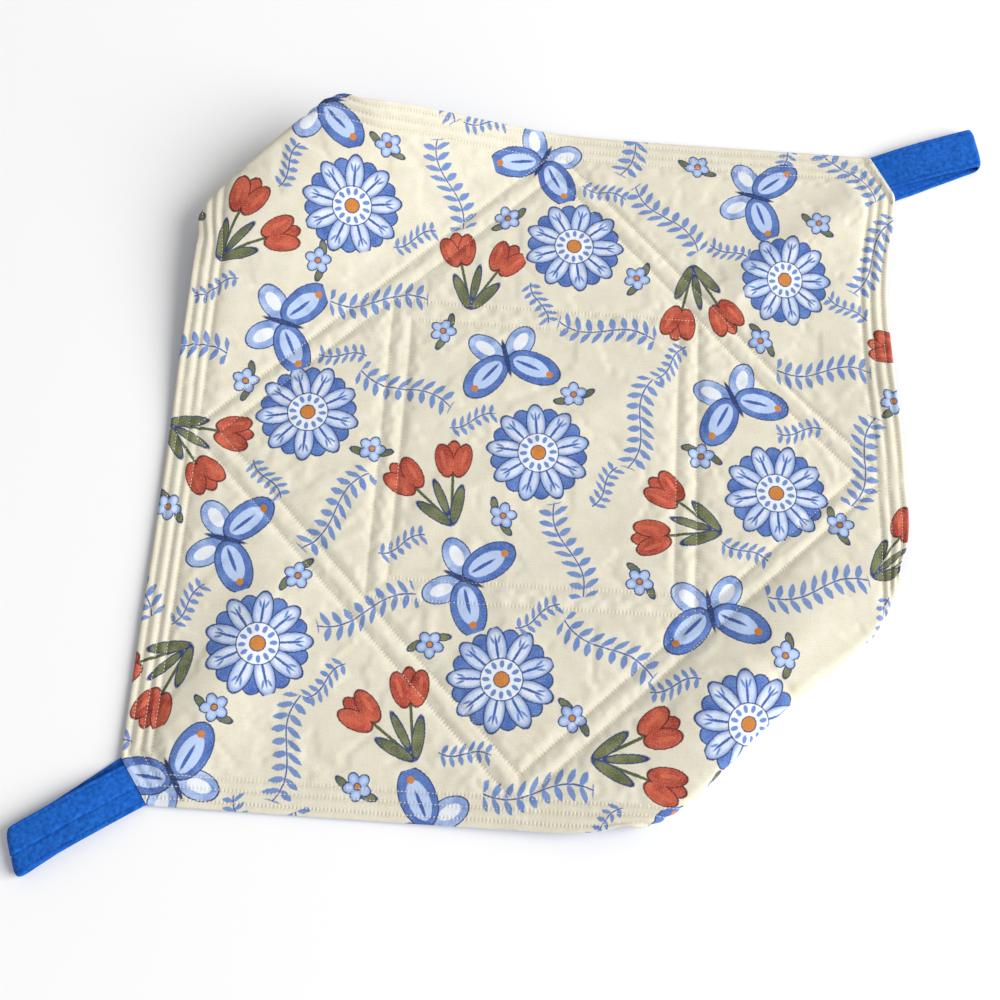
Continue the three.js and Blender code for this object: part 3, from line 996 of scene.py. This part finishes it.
padStitches = {"cover": sewPad("cover", coverThread), "lining": sewPad("lining", coverThread)}
print("stitches sewn")


# Strap loops
strap = {
    "width": 27.0, "thick": 1.9, "tail": 3.0, "seamLow": 1.6, "seamHigh": 3.7, "round": 2.2, "opened": 0.6,
    "rowInset": 2.6, "rowDip": 0.28, "rowDipWidth": 0.8, "pitch": 2.5, "length": 2.1, "thread": 0.5,
    "joinAt": 1.5, "joinDip": 0.75, "joinWidth": 0.6, "lap": 0.3, "lapWidth": 3.5, "wobble": 0.18,
    "hemIn": 0.3, "hemHalf": 0.55, "settle": 12, "clear": 0.02, "threadFrom": 1.0, "threadSink": 0.2,
    "threadClear": 0.25, "bendFrom": 1.0, "bendLength": 7.0,
    "right": {"reach": 68.5, "gap": 4.5, "shift": 8.0, "lean": math.tan(math.radians(8.6)), "slant": 0.38,
              "joinOut": False, "wobbleAt": 0},
    "left": {"reach": 77.0, "gap": 5.5, "shift": 5.0, "lean": math.tan(math.radians(-0.6)), "slant": 0.25,
             "joinOut": True, "wobbleAt": 40},
}


def strapPath(name):
    sewn = strap[name]
    reach = sewn["reach"]
    bend = (sewn["gap"] + strap["thick"]) / 2
    flat = strap["thick"] / 2
    bendStart = reach - bend - strap["thick"] / 2
    top = flat + 2 * bend
    opened = strap["opened"] * bendStart

    def aside(out, leg):
        return leg * sewn["shift"] / 2 * (1 - max(0, out) / reach) - max(0, out) * sewn["lean"]

    path = [(-strap["tail"], strap["seamLow"], aside(0, -1)), (0.0, strap["seamLow"], aside(0, -1))]
    for out in np.linspace(3, bendStart, 34):
        t = min(1, out / strap["settle"])
        path.append((out, lerp(strap["seamLow"], flat + 0.03, t * t * (3 - 2 * t)), aside(out, -1)))
    for turn in np.linspace(0, math.pi, 19)[1:]:
        out = bendStart + bend * math.sin(turn)
        path.append((out, flat + bend * (1 - math.cos(turn)), aside(out, -math.cos(turn))))
    for out in np.linspace(bendStart, 0, 40)[1:]:
        lift = math.sin(math.pi / 2 * min(1, out / opened))
        path.append((out, lerp(strap["seamHigh"], top, lift), aside(out, 1)))
    path.append((-strap["tail"], strap["seamHigh"], aside(0, 1)))
    return np.array(path)


def strapFrames(path):
    tangent = np.gradient(path[:, :2], axis=0)
    tangent /= np.linalg.norm(tangent, axis=1)[:, None]
    return np.stack([-tangent[:, 1], tangent[:, 0]], axis=1)


def strapSection(name):
    # flat tube with rounded edges: (across, face) pairs round the section; its two folded
    # edges meet in a join along one face
    half = strap["width"] / 2
    face = np.linspace(-half + 1, half - 1, 51)
    dip = strap["rowDip"] * bell(np.abs(face) - half + strap["rowInset"], strap["rowDipWidth"])
    past = face - strap["joinAt"]
    lap = strap["lap"] * np.exp(-(np.maximum(0, past) / strap["lapWidth"])) * (past > 0)
    join = strap["joinDip"] * bell(past, strap["joinWidth"]) + lap
    joinOut = strap[name]["joinOut"]
    top = strap["thick"] / 2 - dip - (0 if joinOut else join)
    lower = -strap["thick"] / 2 + dip + (join if joinOut else 0)
    hem, side = half - strap["hemIn"], strap["hemHalf"]
    edge = np.array([(hem, -side), (half, 0.0), (hem, side)])
    return np.concatenate([np.column_stack([face, lower]), edge, np.column_stack([face, top])[::-1], -edge])


def strapPlace(name, out, across, aside, up):
    # the slant carries one edge of the bend further out, and its corners are rounded
    middle, direction = seams[name]
    side = np.array([-direction[1], direction[0]])
    share = np.clip(out / strap[name]["reach"], 0, 1)
    corner = strap["round"] * (2 * across / strap["width"]) ** 6 * share ** 9
    out = out + strap[name]["slant"] * across * share - corner
    flat = middle + np.outer(out, direction) + np.outer(across + aside, side)
    return np.column_stack([flat, up]) / 1000


def strapLoop(name):
    path, section = strapPath(name), strapSection(name)
    across, count = section[:, 0], len(section)
    rings = []
    for i, (p, n) in enumerate(zip(path, strapFrames(path))):
        ease = np.clip((p[0] + 2) / 20, 0, 1)
        wobble = strap["wobble"] * valueNoise(across + strap[name]["wobbleAt"], np.full(count, i * 1.7), 6, 17)
        face = section[:, 1] + wobble * ease
        rings.append(strapPlace(name, p[0] + n[0] * face, across, p[2], p[1] + n[1] * face))
    points = np.concatenate(rings)
    points[:, 2] = np.maximum(points[:, 2], strap["clear"] / 1000)
    faces = []
    for ring in range(0, count * (len(rings) - 1), count):
        for i in range(count):
            j = (i + 1) % count
            faces.append((ring + i, ring + j, ring + count + j, ring + count + i))
    faces.append(tuple(range(count))[::-1])
    faces.append(tuple(range(len(points) - count, len(points))))
    mesh = bpy.data.meshes.new(f"{name}Strap")
    mesh.from_pydata(points.tolist(), [], faces)
    faceOutward(mesh)
    mesh.materials.append(strapCloth)
    return addObject(f"{name}Strap", mesh)


def strapStitches(name):
    path = strapPath(name)
    visible = path[:, 0] > strap["threadFrom"]
    p, n = path[visible], strapFrames(path)[visible]
    direction = seams[name][1]
    inset = strap["width"] / 2 - strap["rowInset"]
    runs = []
    for across in (-inset, inset):
        for face in (1, -1):
            off = n * face * (strap["thick"] / 2 - strap["threadSink"])
            points = strapPlace(name, p[:, 0] + off[:, 0], across, p[:, 2], p[:, 1] + off[:, 1])
            points[:, 2] = np.maximum(points[:, 2], strap["threadClear"] / 1000)
            lift = np.column_stack([np.outer(n[:, 0], direction), n[:, 1]]) * face
            runs.append([(tuple(a), tuple(b)) for a, b in zip(points, lift)])
    return sewRows(f"{name}StrapStitches", runs, strapThread, strap)


strapPieces = {name: (strapLoop(name), strapStitches(name)) for name in seams}
print("straps made")

# Pieces stand in for the CAD parts, which are hidden: the middle pieces go with the centre body, the others have
# their transforms baked in
ways = {"right": (1, 0, 0), "left": (-1, 0, 0), "back": (0, 1, 0), "front": (0, -1, 0)}


def foldLine(name):
    w, fold, bend = Vector(ways[name]), pad["fold"] / 1000, pad["bend"] / 1000
    return w * (fold - bend), w * (fold + bend)


def tipLine(skin, name):
    # at the back both skins turn from the lining's edge, at the front each from its own
    w = Vector(ways[name])
    turning = skin if name == "front" else "lining"
    edge = max((Vector(v.co) @ w) for v in padPieces[turning, f"{name}_corner"].data.vertices)
    return w * edge, w * (edge - tucks[name]["turn"] / 1000)


for (skin, panel), piece in padPieces.items():
    under = "cotton_batting" if skin == "cover" else "heat_batting"
    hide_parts(f"{skin}_{panel}", f"{under}_{panel}")
for (skin, panel), piece in padPieces.items():
    name = panel.split("_")[0]
    for part in (piece, padStitches[skin][panel]):
        if panel == "centre":
            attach(part, "centre")
        elif panel.endswith("_flap"):
            first, last = foldLine(name)
            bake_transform(part)
        else:
            first, last = tipLine(skin, name)
            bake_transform(part)
for name, (loop, rows) in strapPieces.items():
    middle, direction = seams[name]
    out = Vector((*direction, 0))
    first = Vector((*(middle / 1000), 0)) - out * (strap["bendFrom"] / 1000)
    last = first + out * (strap["bendLength"] / 1000)
    for piece in (loop, rows):
        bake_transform(piece)
    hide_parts(f"{name}_handle_sleeve", f"{name}_handle_core",
                f"{name}_handle_upper_end", f"{name}_handle_lower_end")

# Stage: pale floor, soft light from the near side, camera as in the photograph
stage = {
    "floor": 6.0, "floorNear": 0.9, "floorFar": 2.6,  # past these the floor goes over to the white backdrop
    "key": 596.0, "keySize": 5.5, "keyAt": (3.42, -4.37, 3.6), "fill": 0.41, "backdrop": 0.98,
    "lens": 50.47, "cameraAt": (-0.2331, -0.2013, 0.8156), "lookAt": (-0.0369, -0.0061, 0),
    "roll": math.radians(4.1),
}


def aimed(name, data, place, target, turn=0.0):
    made = addObject(name, data)
    made.location = place
    made.rotation_mode = "QUATERNION"
    look = (Vector(target) - made.location).to_track_quat("-Z", "Y")
    made.rotation_quaternion = look @ Matrix.Rotation(turn, 3, "Z").to_quaternion()
    return made


def seenBare(start):
    # 1 for what the camera sees, straight or by way of gloss and glass
    looks = [start.node("ShaderNodeLightPath", None, None, output=k) for k in
             ("Is Camera Ray", "Is Glossy Ray", "Is Transmission Ray")]
    return looks[0].high(looks[1]).high(looks[2])


def studioWhite(start, kind):
    level = (stage["backdrop"],) * 3 + (1.0,)
    return start.node(kind, None, {"Color": level, "Strength": 1.0})


floorMesh = bpy.data.meshes.new("studioFloor")
half = stage["floor"]
corners = [(-half, -half, 0), (half, -half, 0), (half, half, 0), (-half, half, 0)]
floorMesh.from_pydata(corners, [], [(0, 1, 2, 3)])
floor = addObject("studioFloor", floorMesh)
floorPaint, floorTree, floorShader = newMaterial("studioFloor")
floorShader.inputs["Base Color"].default_value = srgb(250, 250, 250)
floorShader.inputs["Roughness"].default_value = 0.9
start = Val(floorTree, None)
place = start.node("ShaderNodeTexCoord", None, None, output="Object")
distance = place.node("ShaderNodeVectorMath", {"operation": "LENGTH"}, [place], output="Value")
distant = distance.node("ShaderNodeMapRange", {"interpolation_type": "SMOOTHSTEP"},
                        {"Value": distance, "From Min": stage["floorNear"], "From Max": stage["floorFar"]})
floorLook = start.node("ShaderNodeMixShader", None, [
    distant * seenBare(start), Val(floorTree, floorShader.outputs[0]), studioWhite(start, "ShaderNodeEmission")])
floorTree.links.new(floorLook.socket, floorTree.nodes["Material Output"].inputs["Surface"])
floorMesh.materials.append(floorPaint)

world = bpy.data.worlds.new("studio")
scene.world = world
world.use_nodes = True
start = Val(world.node_tree, None)
fill = start.node("ShaderNodeBackground", None, {"Color": (1, 1, 1, 1), "Strength": stage["fill"]})
sky = start.node("ShaderNodeMixShader", None, [seenBare(start), fill, studioWhite(start, "ShaderNodeBackground")])
world.node_tree.links.new(sky.socket, world.node_tree.nodes["World Output"].inputs["Surface"])
keyData = bpy.data.lights.new("keyLight", "AREA")
keyData.shape = "DISK"
keyData.size = stage["keySize"]
keyData.energy = stage["key"]
aimed("keyLight", keyData, stage["keyAt"], (0, 0, 0))

cameraData = bpy.data.cameras.new("camera")
cameraData.sensor_width = 36
cameraData.lens = stage["lens"]
scene.camera = aimed("camera", cameraData, stage["cameraAt"], stage["lookAt"], stage["roll"])
scene.view_settings.view_transform = "Standard"
print("stage set")
